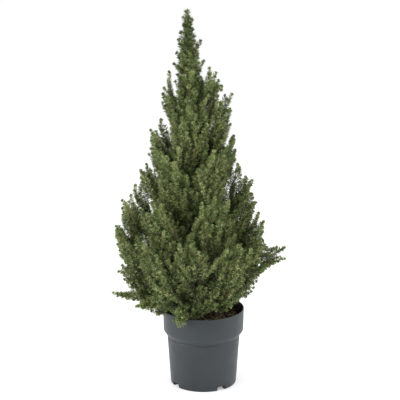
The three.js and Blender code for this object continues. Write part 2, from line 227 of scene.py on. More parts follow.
def pot_plastic():
    """Slate grey satin plastic with a faint moulded grain and dusty patches."""
    m = Nodes("slate_plastic")
    place = m.place()
    cloudy = m.noise(place, 14, 3)
    colour = m.ramp(cloudy, (0.3, srgb(29, 36, 40)), (0.7, srgb(37, 45, 49)))
    m.link(colour, m.shader.inputs["Base Color"])
    worn = m.noise(place, 55, 5)
    rough = m.ramp(worn, (0.3, (0.42, 0.42, 0.42, 1)), (0.75, (0.56, 0.56, 0.56, 1)))
    m.link(rough, m.shader.inputs["Roughness"])
    grain = m.bump(m.noise(place, 1400, 2), 0.0002, 0.25)
    waves = m.bump(m.noise(m.place((1, 1, 0.3)), 9, 1), 0.002, 0.15, grain)
    m.link(waves, m.shader.inputs["Normal"])
    m.shader.inputs["Specular IOR Level"].default_value = 0.5


def peat():
    """Damp dark peat, with paler fibres in it."""
    m = Nodes("damp_peat")
    place = m.place()
    colour = m.ramp(
        m.noise(place, 160, 8, 0.7),
        (0.35, srgb(20, 15, 11)), (0.55, srgb(48, 37, 27)), (0.72, srgb(92, 72, 50)),
    )
    m.link(colour, m.shader.inputs["Base Color"])
    m.shader.inputs["Roughness"].default_value = 0.95
    m.link(m.bump(m.noise(place, 420, 8, 0.75), 0.002, 0.8), m.shader.inputs["Normal"])


def bark():
    """Grey-brown flaking bark, its cracks running along the stem."""
    m = Nodes("spruce_bark")
    place = m.place((1, 1, 0.35))
    flakes = m.add("ShaderNodeTexVoronoi", Scale=210.0, feature="DISTANCE_TO_EDGE")
    m.link(place, flakes.inputs["Vector"])
    colour = m.ramp(
        m.noise(place, 120, 8, 0.7),
        (0.3, srgb(66, 50, 36)), (0.5, srgb(104, 82, 60)), (0.75, srgb(140, 120, 94)),
    )
    m.link(colour, m.shader.inputs["Base Color"])
    m.shader.inputs["Roughness"].default_value = 0.9
    fine = m.bump(m.noise(place, 700, 6), 0.0006, 0.6)
    m.link(m.bump(flakes.outputs["Distance"], 0.0012, 0.7, fine), m.shader.inputs["Normal"])


def plain(name, colour, roughness, specular=0.35):
    """One of the tints dealt out by spray, by twig or by crumb."""
    shader = new_material(name)
    shader.inputs["Base Color"].default_value = colour
    shader.inputs["Roughness"].default_value = roughness
    shader.inputs["Specular IOR Level"].default_value = specular


# Needle tints, from the deepest shade to the palest young growth, and the dead ones last.
NEEDLE_TINTS = {
    "needle_deep": srgb(47, 61, 32),
    "needle_shade": srgb(71, 89, 46),
    "needle_green": srgb(94, 113, 60),
    "needle_olive": srgb(118, 136, 76),
    "needle_leaf": srgb(142, 158, 96),
    "needle_young": srgb(168, 178, 122),
    "needle_dead": srgb(138, 103, 62),
}
DEAD = len(NEEDLE_TINTS) - 1
TWIG_TINTS = {
    "twig_young": srgb(160, 132, 84),
    "twig_green": srgb(128, 122, 74),
    "twig_old": srgb(78, 62, 46),
}
CRUMB_TINTS = {
    "crumb_dark": srgb(24, 18, 13),
    "crumb_brown": srgb(56, 42, 30),
    "crumb_fibre": srgb(104, 82, 56),
}


def make_materials():
    pot_plastic()
    peat()
    bark()
    for name, colour in NEEDLE_TINTS.items():
        plain(name, colour, 0.42, 0.5)
    for name, colour in TWIG_TINTS.items():
        plain(name, colour, 0.75)
    for name, colour in CRUMB_TINTS.items():
        plain(name, colour, 0.95, 0.2)


# ------------------------------------------------------------------ small tools


def deselect_all():
    if bpy.context.object and bpy.context.object.mode != "OBJECT":
        bpy.ops.object.mode_set(mode="OBJECT")
    bpy.ops.object.select_all(action="DESELECT")


def apply_modifiers(piece):
    deselect_all()
    bpy.context.view_layer.objects.active = piece
    piece.select_set(True)
    for modifier in list(piece.modifiers):
        bpy.ops.object.modifier_apply(modifier=modifier.name)


def hand_over(piece, slot, *nodes):
    """Attaches a finished piece to the root body, so the whole plant is one body, and hides the
    nodes that it stands for.
    """
    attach(piece, "root")
    if nodes:
        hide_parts(*nodes)


def mesh_piece(name, points, faces, tints, tint_of_face, smooth=False):
    """A joined mesh from arrays: faces all have the same number of corners."""
    count, corners = faces.shape
    mesh = bpy.data.meshes.new(name)
    mesh.vertices.add(len(points))
    mesh.vertices.foreach_set("co", points.astype(np.float32).ravel())
    mesh.loops.add(count * corners)
    mesh.loops.foreach_set("vertex_index", faces.astype(np.int32).ravel())
    mesh.polygons.add(count)
    mesh.polygons.foreach_set("loop_start", np.arange(0, count * corners, corners, dtype=np.int32))
    for tint in tints:
        mesh.materials.append(bpy.data.materials[tint])
    mesh.polygons.foreach_set("material_index", tint_of_face.astype(np.int32))
    mesh.polygons.foreach_set("use_smooth", np.full(count, smooth))
    mesh.update(calc_edges=True)
    piece = bpy.data.objects.new(name, mesh)
    bpy.context.scene.collection.objects.link(piece)
    return piece


def unit(vectors):
    """The same directions with a length of one."""
    return vectors / np.maximum(np.linalg.norm(vectors, axis=-1, keepdims=True), 1e-12)


def node_points(node):
    """The corners of one of the frame's nodes."""
    mesh = frame["nodes"][node].data
    points = np.empty(len(mesh.vertices) * 3, np.float32)
    mesh.vertices.foreach_get("co", points)
    return points.reshape(-1, 3).astype(float)


def node_triangles(node):
    """A node's triangles as an array of corners, three to a triangle."""
    mesh = frame["nodes"][node].data
    mesh.calc_loop_triangles()
    corners = np.empty(len(mesh.loop_triangles) * 3, np.int32)
    mesh.loop_triangles.foreach_get("vertices", corners)
    return node_points(node)[corners].reshape(-1, 3, 3)


def bezier(points, t):
    """A curve through its end points, pulled by those between: three or four points."""
    t = np.asarray(t)[:, None]
    if len(points) == 3:
        a, b, c = points
        return (1 - t) ** 2 * a + 2 * t * (1 - t) * b + t**2 * c
    a, b, c, d = points
    return (1 - t) ** 3 * a + 3 * t * (1 - t) ** 2 * b + 3 * t**2 * (1 - t) * c + t**3 * d


# ------------------------------------------------------------------ the frame's facts

SLOT_OF = {row["node"]: row["material_slot"] for row in frame["record"]["subparts"]}
MASSES = sorted(node for node, slot in SLOT_OF.items() if slot == "needles")
BOUGHS = sorted(node for node in SLOT_OF if node.startswith("bough_"))
TIERS = ("crest", "upper", "middle", "broad", "belly", "skirt")
SPRAYS = [m for m in MASSES if not m.startswith(TIERS) and m != "leader_spire"]

CROWN_FOOT = 180 * MM  # the height where the foliage starts


def height_share(height):
    """How far up the crown a height is, from 0 to 1."""
    return np.clip((height - CROWN_FOOT) / (cad_box[1][2] - CROWN_FOOT), 0, 1)


trunk_points = node_points("trunk")
soil_top = trunk_points[:, 2].min()
trunk_tip = trunk_points[trunk_points[:, 2].argmax()]
trunk_foot = trunk_points[trunk_points[:, 2] < soil_top + 1 * MM].mean(axis=0)


def stem_at(z):
    """The stem's axis at a height or at heights."""
    share = (np.asarray(z) - trunk_foot[2]) / (trunk_tip[2] - trunk_foot[2])
    return trunk_foot + np.multiply.outer(share, trunk_tip - trunk_foot)


def outward_from_stem(points):
    """The level direction away from the stem."""
    away = points - stem_at(points[..., 2])
    away[..., 2] = 0
    return unit(away)


def stem_distance(points):
    """How far out from the stem."""
    return np.linalg.norm((points - stem_at(points[..., 2]))[..., :2], axis=-1)


# ------------------------------------------------------------------ wood


JOINT_STEP = 7 * MM
TURN_COST = 2.6  # what a shoot's turn costs it, in its own lengths
LONG_COST = 0.6  # what a millimetre too long costs, against one too short
SHORTEST = 0.5  # a shoot is at least this share of the length it wants
OUTWARD_SLACK = 6 * MM  # how much further from the stem than its tip a shoot's root may be


class Wood:
    """Every joint of the plant's wood: where it is, what it grows from and how much it feeds."""

    def __init__(self, room=60000):
        self.place = np.zeros((room, 3))
        self.parent = np.full(room, -1)
        self.open = np.zeros(room, bool)  # whether a new shoot may join here
        self.reach = np.zeros(room)  # how far from the stem it is
        self.count = 0
        self.runs = []  # each run of joints from where it joins older wood to its tip

    def grow(self, start, points, open_share=1.0):
        """Grows a run of joints on from joint start. Returns the last joint."""
        first = self.count
        n = len(points)
        self.place[first : first + n] = points
        self.parent[first : first + n] = np.r_[start, np.arange(first, first + n - 1)]
        self.open[first : first + int(n * open_share)] = True
        self.reach[first : first + n] = stem_distance(points)
        self.count += n
        self.runs.append(([start] if start >= 0 else []) + list(range(first, first + n)))
        return self.count - 1

    def nearest(self, point, below=None):
        """The nearest joint that a shoot may grow from, below a height if one is given."""
        usable = self.open[: self.count].copy()
        if below is not None:
            usable &= self.place[: self.count, 2] < below
        distance = np.linalg.norm(self.place[: self.count] - point, axis=1)
        return int(np.where(usable, distance, np.inf).argmin())

    def best_root(self, tip, way, length):
        """The joint that a straight shoot of that length and way would best grow from."""
        back = tip - self.place[: self.count]
        distance = np.linalg.norm(back, axis=1)
        straight = back @ way / np.maximum(distance, 1e-9)
        extra = distance - length
        cost = np.where(extra > 0, LONG_COST * extra, -extra)
        cost += length * TURN_COST * (1 - straight)
        reach = self.reach[: self.count] < stem_distance(tip) + OUTWARD_SLACK
        usable = self.open[: self.count] & (distance > SHORTEST * length) & reach
        return int(np.where(usable, cost, np.inf).argmin())

    def loads(self):
        """How many tips each joint feeds."""
        load = np.zeros(self.count)
        for run in self.runs:
            load[run[-1]] += 1
        for joint in range(self.count - 1, 0, -1):
            if self.parent[joint] >= 0:
                load[self.parent[joint]] += load[joint]
        return load


def spaced(curve_points, step=JOINT_STEP):
    """The same line with its points evenly spaced."""
    legs = np.linalg.norm(np.diff(curve_points, axis=0), axis=1)
    along = np.r_[0, np.cumsum(legs)]
    n = max(2, int(round(along[-1] / step)) + 1)
    want = np.linspace(0, along[-1], n)
    return np.stack([np.interp(want, along, curve_points[:, k]) for k in range(3)], axis=1)


BARE_STEM = 8  # joints at the stem's foot that no shoot grows from
BOUGH_END = 6  # corners of a bough that mark one of its ends
BOUGH_DROP = 4 * MM  # how far below its inner end a bough joins the stem
SPRAY_BACK, SPRAY_DROP = 30 * MM, 20 * MM  # from a spray's foot to its root, inwards and down
SPRAY_RISE = 10 * MM  # the root is no higher above the foot than this
LIMB_DROP = 12 * MM  # how far below its mass any other limb leaves the stem
LIMB_BEND = (1.6, 0.3)  # pulls a limb through the middle of its mass
LIMB_POINTS = 24
LIMB_OPEN = 0.85  # the share of a limb from which shoots may grow


def grow_limbs(wood):
    """The stem, the boughs that the frame has, and one limb through each mass of foliage."""
    stem = stem_at(np.arange(trunk_foot[2], trunk_tip[2], JOINT_STEP))
    wood.grow(-1, stem)
    wood.open[:BARE_STEM] = False
    ends = {}
    leafy_limbs = []
    for bough in BOUGHS:
        points = node_points(bough)
        order = stem_distance(points).argsort()
        inner = points[order[:BOUGH_END]].mean(axis=0)
        outer = points[order[-BOUGH_END:]].mean(axis=0)
        start = wood.nearest(inner - [0, 0, BOUGH_DROP])
        line = spaced(np.array([inner, outer]))
        ends[bough.replace("bough_", "")] = wood.grow(start, line[1:])
    for mass in [m for m in MASSES if m not in SPRAYS] + SPRAYS:
        points = node_points(mass)
        middle = points.mean(axis=0)
        if mass in SPRAYS:
            foot = points[stem_distance(points).argmin()]
            behind = foot - SPRAY_BACK * outward_from_stem(foot) - [0, 0, SPRAY_DROP]
            start = wood.nearest(behind, foot[2] + SPRAY_RISE)
        elif mass in ends:
            start = ends[mass]
        else:
            low = points[:, 2].min()
            start = wood.nearest(stem_at(low - LIMB_DROP))
        root = wood.place[start]
        tip = points[np.linalg.norm(points - root, axis=1).argmax()]
        tip = tip + TIP_INSET * unit(root - tip)
        bend = LIMB_BEND[0] * middle - LIMB_BEND[1] * (root + tip)
        limb = spaced(bezier((root, bend, tip), np.linspace(0, 1, LIMB_POINTS)))[1:]
        wood.grow(start, limb, LIMB_OPEN)
        kind = "leader" if mass == "leader_spire" else "spray" if mass in SPRAYS else "finger"
        leafy_limbs.append((limb, rng.uniform(*LEAFY[kind]) * MM, kind))
    return leafy_limbs


# ------------------------------------------------------------------ where the shoots end

OUTER_SPACING = 13.6 * MM
SPRAY_SPACING = 10 * MM
INNER_SPACING = 18.5 * MM
FINGER_SPACING = 17 * MM
VALLEY = (24 * MM, 62 * MM)  # two heads this far apart have a lower shoot between them
VALLEY_DEPTH = 0.42  # how much lower, as a share of their distance
VALLEY_JITTER = 0.11  # how far such a shoot's way strays
SHARP = 0.6  # how sharply a corner has to stand out to be the end of a finger
TIP_INSET = 4.5 * MM  # the needles reach this far past the wood's own tip
CLEAR = 14 * MM  # a surface with another mass nearer than this isn't open to the light
CORE_DEPTH = (16, 42)  # millimetres that the inner shoots end below the surface
CORE_ROOM = 1.7  # an inner shoot needs this many of its depths free behind it
SAMPLE_SPACING = 4 * MM
SURFACE_SKIP = 1.5 * MM  # rays start this far off the surface that they leave
UNDERSIDE_TURN = -0.25  # a surface that faces further down than this is an underside
INWARD_TURN = -0.3  # one that faces the stem more than this is never in the light
FINGER_TURN = 0.4  # how much a finger has to point up and out
SKY_REACH, GROUND_REACH = 1.0, 300 * MM  # how far a ray looks up and out, and down
JITTER = 0.09  # how far a shoot's way strays


class Spread:
    """Keeps points at least a spacing apart."""

    def __init__(self, spacing):
        self.spacing = spacing
        self.cells = {}

    def take(self, point):
        """Keeps a point if there is room for it. Returns whether it did."""
        cell = tuple(np.floor(point / self.spacing).astype(int))
        for dx in (-1, 0, 1):
            for dy in (-1, 0, 1):
                for dz in (-1, 0, 1):
                    for other in self.cells.get((cell[0] + dx, cell[1] + dy, cell[2] + dz), ()):
                        if np.linalg.norm(point - other) < self.spacing:
                            return False
        self.cells.setdefault(cell, []).append(point)
        return True


def fingertips(mass):
    """The ends of the fingers that stand out of a mass, and which way each points."""
    triangles = node_triangles(mass)
    keys = np.round(triangles.reshape(-1, 3) * 1e5).astype(int)
    corners, index = np.unique(keys, axis=0, return_inverse=True)
    points = corners / 1e5
    index = index.reshape(-1, 3)
    sums = np.zeros_like(points)
    counts = np.zeros(len(points))
    for a, b in ((0, 1), (1, 2), (2, 0)):
        for start, end in ((a, b), (b, a)):
            way = unit(points[index[:, end]] - points[index[:, start]])
            np.add.at(sums, index[:, start], way)
            np.add.at(counts, index[:, start], 1)
    mean = sums / np.maximum(counts, 1)[:, None]
    size = np.linalg.norm(mean, axis=1)
    sharp = np.nonzero(size > SHARP)[0]
    sharp = sharp[size[sharp].argsort()[::-1]]
    return [(points[i], -mean[i] / size[i]) for i in sharp]


def shoot_way(normal, away, share, jitter, kind):
    """Which way a shoot's tip points: up and out, flatter low down, and out under the crown."""
    if kind in ("spray", "arm"):
        along, out, rise = 0.5, 0.9, 0.1
    elif kind == "under":
        along, out, rise = 0.5, 1.0, 0.2
    else:
        along, out, rise = 0.35, 0.3, 0.9 + 0.8 * share
    return unit(along * normal + out * away + np.array([0, 0, rise]) + jitter)


def surface_samples(triangles):
    """Places spread evenly over a mass, with their normals."""
    edges_a = triangles[:, 1] - triangles[:, 0]
    edges_b = triangles[:, 2] - triangles[:, 0]
    cross = np.cross(edges_a, edges_b)
    area = np.linalg.norm(cross, axis=1) / 2
    tries = int(area.sum() / SAMPLE_SPACING**2)
    chosen = rng.choice(len(triangles), tries, p=area / area.sum())
    u, v = rng.random((2, tries))
    flip = u + v > 1
    u[flip], v[flip] = 1 - u[flip], 1 - v[flip]
    places = triangles[chosen, 0] + u[:, None] * edges_a[chosen] + v[:, None] * edges_b[chosen]
    return places, unit(cross[chosen])


def find_tips(limb_tips):
    """Every shoot's tip, as (place, way, kind), spread over the masses and some way inside."""
    everything = [node_triangles(mass) for mass in MASSES]
    joined = np.concatenate(everything)
    tree = BVHTree.FromPolygons(
        joined.reshape(-1, 3).tolist(), np.arange(len(joined) * 3).reshape(-1, 3).tolist()
    )

    def free(place, normal, way, reach):
        """Whether no foliage is met within reach."""
        start = Vector(place + SURFACE_SKIP * normal)
        return tree.ray_cast(start, Vector(way), reach)[0] is None

    def enclosed(place):
        """Whether a place is inside a mass."""
        for way in ((0, 0, 1), (0, 0, -1), (1, 0, 0), (-1, 0, 0), (0, 1, 0), (0, -1, 0)):
            hit, normal = tree.ray_cast(Vector(place), Vector(way))[:2]
            if hit is None or normal.dot(Vector(way)) < 0:
                return False
        return True

    fingers = Spread(FINGER_SPACING)
    outer = Spread(OUTER_SPACING)
    sprays = Spread(SPRAY_SPACING)
    inner = Spread(INNER_SPACING)
    tips = []
    for place, _ in limb_tips:
        fingers.take(place)
        outer.take(place)
    for mass in MASSES:
        for place, way in fingertips(mass):
            away = outward_from_stem(place)
            skyward = unit(away + way)
            if way[2] + way @ away < FINGER_TURN or not free(place, way, skyward, SKY_REACH):
                continue
            if fingers.take(place) and outer.take(place):
                tips.append((place - TIP_INSET * way, way, "finger"))
    heads = [place for place, _, _ in tips]
    heads += [place for place, kind in limb_tips if kind != "spray"]
    heads = np.array(heads)
    for i, head in enumerate(heads):
        for other in heads[:i][np.linalg.norm(heads[:i] - head, axis=1) < VALLEY[1]]:
            width = np.linalg.norm(other - head)
            place = (head + other) / 2 - [0, 0, VALLEY_DEPTH * width]
            if width > VALLEY[0] and outer.take(place):
                away = outward_from_stem(place)
                jitter = rng.normal(0, VALLEY_JITTER, 3)
                way = shoot_way(away, away, height_share(place[2]), jitter, "valley")
                tips.append((place, way, "valley"))
    for mass, triangles in zip(MASSES, everything):
        places, normals = surface_samples(triangles)
        aways = outward_from_stem(places)
        depths = rng.uniform(*CORE_DEPTH, len(places)) * MM
        jitters = rng.normal(0, JITTER, (len(places), 3))
        for place, normal, away, depth, jitter in zip(places, normals, aways, depths, jitters):
            kind = "outer"
            if mass in SPRAYS:
                kind = "arm" if "_arm" in mass else "spray"
            elif mass == "leader_spire":
                kind = "crest"
            elif normal[2] < UNDERSIDE_TURN and free(place, normal, DOWN, GROUND_REACH):
                kind = "under"
            way = shoot_way(normal, away, height_share(place[2]), jitter, kind)
            outside = mass in SPRAYS or normal @ away > INWARD_TURN
            open_to_light = outside and free(place, normal, normal, CLEAR)
            if open_to_light and (sprays if mass in SPRAYS else outer).take(place):
                tips.append((place - TIP_INSET * normal, way, kind))
                continue
            inside = place - depth * normal
            roomy = free(place, -normal, -normal, CORE_ROOM * depth) and enclosed(inside)
            if roomy and inner.take(inside):
                tips.append((inside, way, "inner"))
    return tips


# ------------------------------------------------------------------ shoots

# Millimetres of each kind of shoot that carry needles.
LEAFY = {
    "leader": (165, 175),
    "finger": (62, 95),
    "spray": (40, 75),
    "arm": (30, 55),
    "outer": (46, 80),
    "valley": (46, 80),
    "crest": (46, 80),
    "under": (40, 70),
    "inner": (26, 46),
}
BARE_FOOT = 9 * MM  # a shoot's foot, below its needles
ORDER_SPREAD = (0.8, 1.2)  # how loosely the nearest tips grow first
STRAIGHTEN = 0.5  # how much a shoot's tip turns away from its root
GRAIN = 0.4  # how much it leaves along the wood that it grows from
LEAVE_PULL, ARRIVE_PULL = 0.3, 0.38  # the shares of its length that it keeps straight
SHOOT_POINTS = 22
OPEN_SHARE = 0.72  # the share of a shoot from which younger shoots may grow


def grow_shoots(wood, tips):
    """Joins every tip to the wood behind it, the nearest tips first. Returns the shoots."""
    limbs = wood.place[: wood.count].copy()
    far = [np.linalg.norm(limbs - place, axis=1).min() for place, _, _ in tips]
    order = (np.array(far) * rng.uniform(*ORDER_SPREAD, len(tips))).argsort()
    shoots = []
    for i in order:
        place, way, kind = tips[i]
        leafy = rng.uniform(*LEAFY[kind]) * MM
        start = wood.best_root(place, way, leafy + BARE_FOOT)
        root = wood.place[start]
        length = np.linalg.norm(place - root)
        straight = (place - root) / length
        way = unit(way + STRAIGHTEN * straight)
        grain = unit(root - wood.place[max(wood.parent[start], 0)])
        leave = root + LEAVE_PULL * length * unit(GRAIN * grain + straight)
        arrive = place - ARRIVE_PULL * length * way
        line = spaced(bezier((root, leave, arrive, place), np.linspace(0, 1, SHOOT_POINTS)))
        wood.grow(start, line[1:], OPEN_SHARE)
        shoots.append((line, leafy, kind))
    return shoots


# ------------------------------------------------------------------ needles

# For each kind of shoot: millimetres of it to a needle, a needle's length, and how many
# needles stand round its tip bud.
NEEDLES = {
    "leader": (0.34, 13.5, 30),
    "finger": (0.55, 9.6, 24),
    "spray": (0.75, 9.6, 16),
    "arm": (0.85, 7.6, 14),
    "outer": (1.00, 9.6, 16),
    "valley": (0.90, 9.6, 18),
    "crest": (0.90, 11.8, 20),
    "under": (0.88, 9.8, 15),
    "inner": (1.60, 9.8, 5),
}
BUD = 2.2  # millimetres of the tip that the bud's needles stand on
LEAN = ([0, 3, 10, 60], [46, 56, 63, 70])  # degrees off the shoot, by millimetres from its tip
TAPER = ([0, 2.2, 4, 14, 70], [0.7, 0.75, 0.88, 1, 0.9])  # share of full length, likewise
BUD_LEAN = (8, 70)  # degrees, for the needles round a tip bud
LEAN_SPREAD, TURN_SPREAD = 0.14, 0.25  # radians
LENGTH_SPREAD = (0.8, 1.12)
LIFT = 0.1  # how much needles turn up
LEAFY_LIMIT = 0.97  # the most of a shoot that can carry needles
THINNING = (0.3, 3.5)  # the share of needles kept at a brush's foot, and how fast it grows
WAY_REACH = 3 * MM  # the shoot's way is taken over this much to each side
NEEDLE_WIDTH = 2.0 * MM
NEEDLE_DEPTH = 0.9 * MM
WIDEST = 0.4  # share of its length at which a needle is widest


def across(ways):
    """Two directions square to each way."""
    side = np.cross(ways, [0.0, 0.0, 1.0])
    flat = np.linalg.norm(side, axis=1) < 0.05
    side[flat] = np.cross(ways[flat], [1.0, 0.0, 0.0])
    side = unit(side)
    return side, np.cross(ways, side)


def along_line(line, at):
    """The places at those distances along a line."""
    legs = np.linalg.norm(np.diff(line, axis=0), axis=1)
    along = np.r_[0, np.cumsum(legs)]
    return np.stack([np.interp(at, along, line[:, k]) for k in range(3)], axis=1)


def shoot_needles(line, leafy, kind):
    """One shoot's needles, set in a spiral: their roots, ways, lengths and depths in the brush."""
    total = np.linalg.norm(np.diff(line, axis=0), axis=1).sum()
    leafy = min(leafy, LEAFY_LIMIT * total)
    step, longest, bud = NEEDLES[kind]
    count = int(leafy / (step * MM))
    share = (np.arange(count) + rng.random(count)) / count  # 0 at the brush's foot, 1 at its tip
    keep = rng.random(count) < np.clip(THINNING[0] + THINNING[1] * share, 0, 1)
    share = share[keep]
    from_tip = np.r_[leafy * (1 - share) / MM, rng.uniform(0, BUD, bud)]
    at = total - from_tip * MM
    roots = along_line(line, at)
    ways = unit(along_line(line, at + WAY_REACH) - along_line(line, at - WAY_REACH))
    side, other = across(ways)
    lean = np.radians(np.interp(from_tip, *LEAN))
    lean[len(share) :] = np.radians(rng.uniform(*BUD_LEAN, bud))
    lean += rng.normal(0, LEAN_SPREAD, len(lean))
    turn = np.arange(len(lean)) * GOLDEN + rng.normal(0, TURN_SPREAD, len(lean))
    spoke = np.cos(turn)[:, None] * side + np.sin(turn)[:, None] * other
    out = unit(np.cos(lean)[:, None] * ways + np.sin(lean)[:, None] * spoke + [0, 0, LIFT])
    length = longest * MM * np.interp(from_tip, *TAPER)
    length = length * rng.uniform(*LENGTH_SPREAD, len(length))
    return roots, out, length, from_tip * MM / leafy


NEEDLE_FACES = np.array([[0, 1, 3], [0, 3, 2], [0, 2, 1], [1, 2, 3]])


def needle_mesh(roots, ways, lengths):
    """Slim closed needles, each with a keel from root to point: their points and faces."""
    side, other = across(ways)
    roll = rng.uniform(0, 2 * math.pi, len(roots))[:, None]
    side, other = (
        np.cos(roll) * side + np.sin(roll) * other,
        np.cos(roll) * other - np.sin(roll) * side,
    )
    along = ways * lengths[:, None]
    points = np.empty((len(roots), 4, 3))
    points[:, 0] = roots
    points[:, 1] = roots + WIDEST * along + NEEDLE_WIDTH / 2 * side + NEEDLE_DEPTH * other
    points[:, 2] = roots + WIDEST * along - NEEDLE_WIDTH / 2 * side + NEEDLE_DEPTH * other
    points[:, 3] = roots + along
    faces = (np.arange(len(roots)) * 4)[:, None, None] + NEEDLE_FACES
    return points.reshape(-1, 3), faces.reshape(-1, 3)


PIECE_LIMIT = 188500  # triangles after which a piece of needles is closed
MIDDLE_TINT = 2.75  # counted along the needle tints
SPRAY_MOOD = 0.7  # how far whole sprays differ in tint
NEEDLE_MOOD = 1.4  # and the needles in a spray
FOOT_SHADE = 1.3  # how much darker a brush is at its foot
TOP_SHADE = (0.7, 1.5)  # the share of the height above which the crown darkens, and how much
INNER_SHADE = 2.0  # how much darker the inner shoots are
DEAD_SHARE = 0.05  # of the lowest inner shoots


def spray_tint(height, kind, depth):
    """The tints of one spray's needles."""
    start, shade = TOP_SHADE
    mood = rng.normal(0, SPRAY_MOOD) - shade * max(0, height - start) / (1 - start)
    if kind == "inner":
        mood -= INNER_SHADE
    spread = rng.normal(0, NEEDLE_MOOD, len(depth))
    tint = np.round(MIDDLE_TINT + mood + spread - FOOT_SHADE * depth)
    tint = np.clip(tint, 0, DEAD - 1)
    if kind == "inner" and rng.random() < DEAD_SHARE * (1 - height) ** 2:
        tint[:] = DEAD
    return tint


def dress(shoots):
    """All needles, dealt into pieces by height, and tinted by spray."""
    rows = []
    for line, leafy, kind in shoots:
        roots, ways, lengths, depth = shoot_needles(line, leafy, kind)
        top = line[-1][2]
        rows.append((top, roots, ways, lengths, spray_tint(height_share(top), kind, depth)))
    rows.sort(key=lambda row: row[0])
    batches = [[]]
    size = 0
    for row in rows:
        batches[-1].append(row)
        size += len(NEEDLE_FACES) * len(row[1])
        if size > PIECE_LIMIT:
            batches.append([])
            size = 0
    pieces = []
    for number, batch in enumerate(filter(None, batches), 1):
        _, *columns = zip(*batch)
        roots, ways, lengths, tints = (np.concatenate(column) for column in columns)
        points, faces = needle_mesh(roots, ways, lengths)
        tints = np.repeat(tints, len(NEEDLE_FACES))
        pieces.append(mesh_piece(f"needles_{number}", points, faces, list(NEEDLE_TINTS), tints))
    return pieces


# ------------------------------------------------------------------ twigs and bark

TWIG_RADIUS = 0.7 * MM
LOAD_POWER = 0.34  # how wood thickens with the number of tips that it feeds
STEM_SMOOTHING = 8  # corners of the frame's stem that each of its radii is the mean of
BARK_LIMIT = 1.7 * MM  # wood thicker than this is part of the bark piece
BARK_VOXEL = 1.15 * MM
FLAKE_SIZE, FLAKE_DEPTH = 5 * MM, 0.9 * MM
BARK_TRIANGLES = 180000
TWIG_SIDES = 3
BARK_SIDES = 10
OLD_SHARE = 0.45  # the share of a twig, from its foot, that is old
OLD_TWIG = list(TWIG_TINTS).index("twig_old")


def wood_radii(wood):
    """How thick each joint is: by what it feeds, and the stem as the frame has it."""
    radii = TWIG_RADIUS * wood.loads() ** LOAD_POWER
    stem = wood.runs[0]
    away = np.linalg.norm((trunk_points - stem_at(trunk_points[:, 2]))[:, :2], axis=1)
    order = trunk_points[:, 2].argsort()
    heights = trunk_points[order, 2]
    smooth = np.convolve(away[order], np.ones(STEM_SMOOTHING) / STEM_SMOOTHING, "same")
    radii[stem] = np.interp(wood.place[stem, 2], heights, smooth)
    return radii


def tube(points, radii, sides):
    """A tube along a line, open at both ends: its points and its four-sided faces."""
    ways = unit(np.gradient(points, axis=0))
    side, other = across(ways)
    for i in range(1, len(points)):  # no twist from ring to ring
        side[i] = unit(side[i - 1] - (side[i - 1] @ ways[i]) * ways[i])
        other[i] = np.cross(ways[i], side[i])
    angles = 2 * math.pi * np.arange(sides) / sides
    turn = angles[None, :, None]
    rim = np.cos(turn) * side[:, None] + np.sin(turn) * other[:, None]
    rings = points[:, None] + radii[:, None, None] * rim
    n = len(points)
    index = np.arange(n * sides).reshape(n, sides)
    a, b = index[:-1], np.roll(index[:-1], -1, axis=1)
    c, d = np.roll(index[1:], -1, axis=1), index[1:]
    return rings.reshape(-1, 3), np.stack([a, b, c, d], axis=-1).reshape(-1, 4)


def grow_twigs(wood, radii):
    """Thin wood: one slim tube for each shoot."""
    names = list(TWIG_TINTS)
    all_points, all_faces, all_tints = [], [], []
    offset = 0
    for run in wood.runs[1:]:
        thin = [j for j in run if radii[j] <= BARK_LIMIT]
        if len(thin) < 2:
            continue
        if len(thin) < len(run):
            thin = [run[run.index(thin[0]) - 1]] + thin
        thin = thin[:-1:2] + thin[-1:]
        points, faces = tube(wood.place[thin], np.minimum(radii[thin], BARK_LIMIT), TWIG_SIDES)
        young = int(rng.choice(2, p=(0.6, 0.4)))
        tint = np.where(np.arange(len(thin) - 1) < OLD_SHARE * len(thin), OLD_TWIG, young)
        all_points.append(points)
        all_faces.append(faces + offset)
        all_tints.append(np.repeat(tint, TWIG_SIDES))
        offset += len(points)
    points, faces, tints = (np.concatenate(rows) for rows in (all_points, all_faces, all_tints))
    return mesh_piece("twigs", points, faces, names, tints, smooth=True)


def grow_bark(wood, radii):
    """The stem, boughs and limbs as one closed skin with the bark's relief on it."""
    all_points, all_faces = [], []
    offset = 0
    for run in wood.runs:
        thick = [j for j in run if radii[j] > BARK_LIMIT]
        if len(thick) < 2:
            continue
        points, faces = tube(wood.place[thick], radii[thick], BARK_SIDES)
        all_points.append(points)
        all_faces.append(faces + offset)
        offset += len(points)
    points, faces = np.concatenate(all_points), np.concatenate(all_faces)
    piece = mesh_piece("bark", points, faces, ["spruce_bark"], np.zeros(len(faces)), smooth=True)
    deselect_all()
    bpy.context.view_layer.objects.active = piece
    piece.select_set(True)
    bpy.ops.object.mode_set(mode="EDIT")
    bpy.ops.mesh.select_all(action="SELECT")
    bpy.ops.mesh.fill_holes(sides=BARK_SIDES + 2)
    bpy.ops.mesh.normals_make_consistent(inside=False)
    bpy.ops.object.mode_set(mode="OBJECT")
    skin = piece.modifiers.new("skin", "REMESH")
    skin.mode = "VOXEL"
    skin.voxel_size = BARK_VOXEL
    relief = bpy.data.textures.new("bark_flakes", "VORONOI")
    relief.noise_scale = FLAKE_SIZE
    relief.distance_metric = "DISTANCE"
    flakes = piece.modifiers.new("flakes", "DISPLACE")
    flakes.texture = relief
    flakes.texture_coords = "LOCAL"
    flakes.strength = FLAKE_DEPTH
    flakes.mid_level = 0.6
    apply_modifiers(piece)
    thin = piece.modifiers.new("thin", "DECIMATE")
    thin.ratio = min(1, BARK_TRIANGLES / (2 * len(piece.data.polygons)))
    apply_modifiers(piece)
    return piece


# ------------------------------------------------------------------ pot and soil

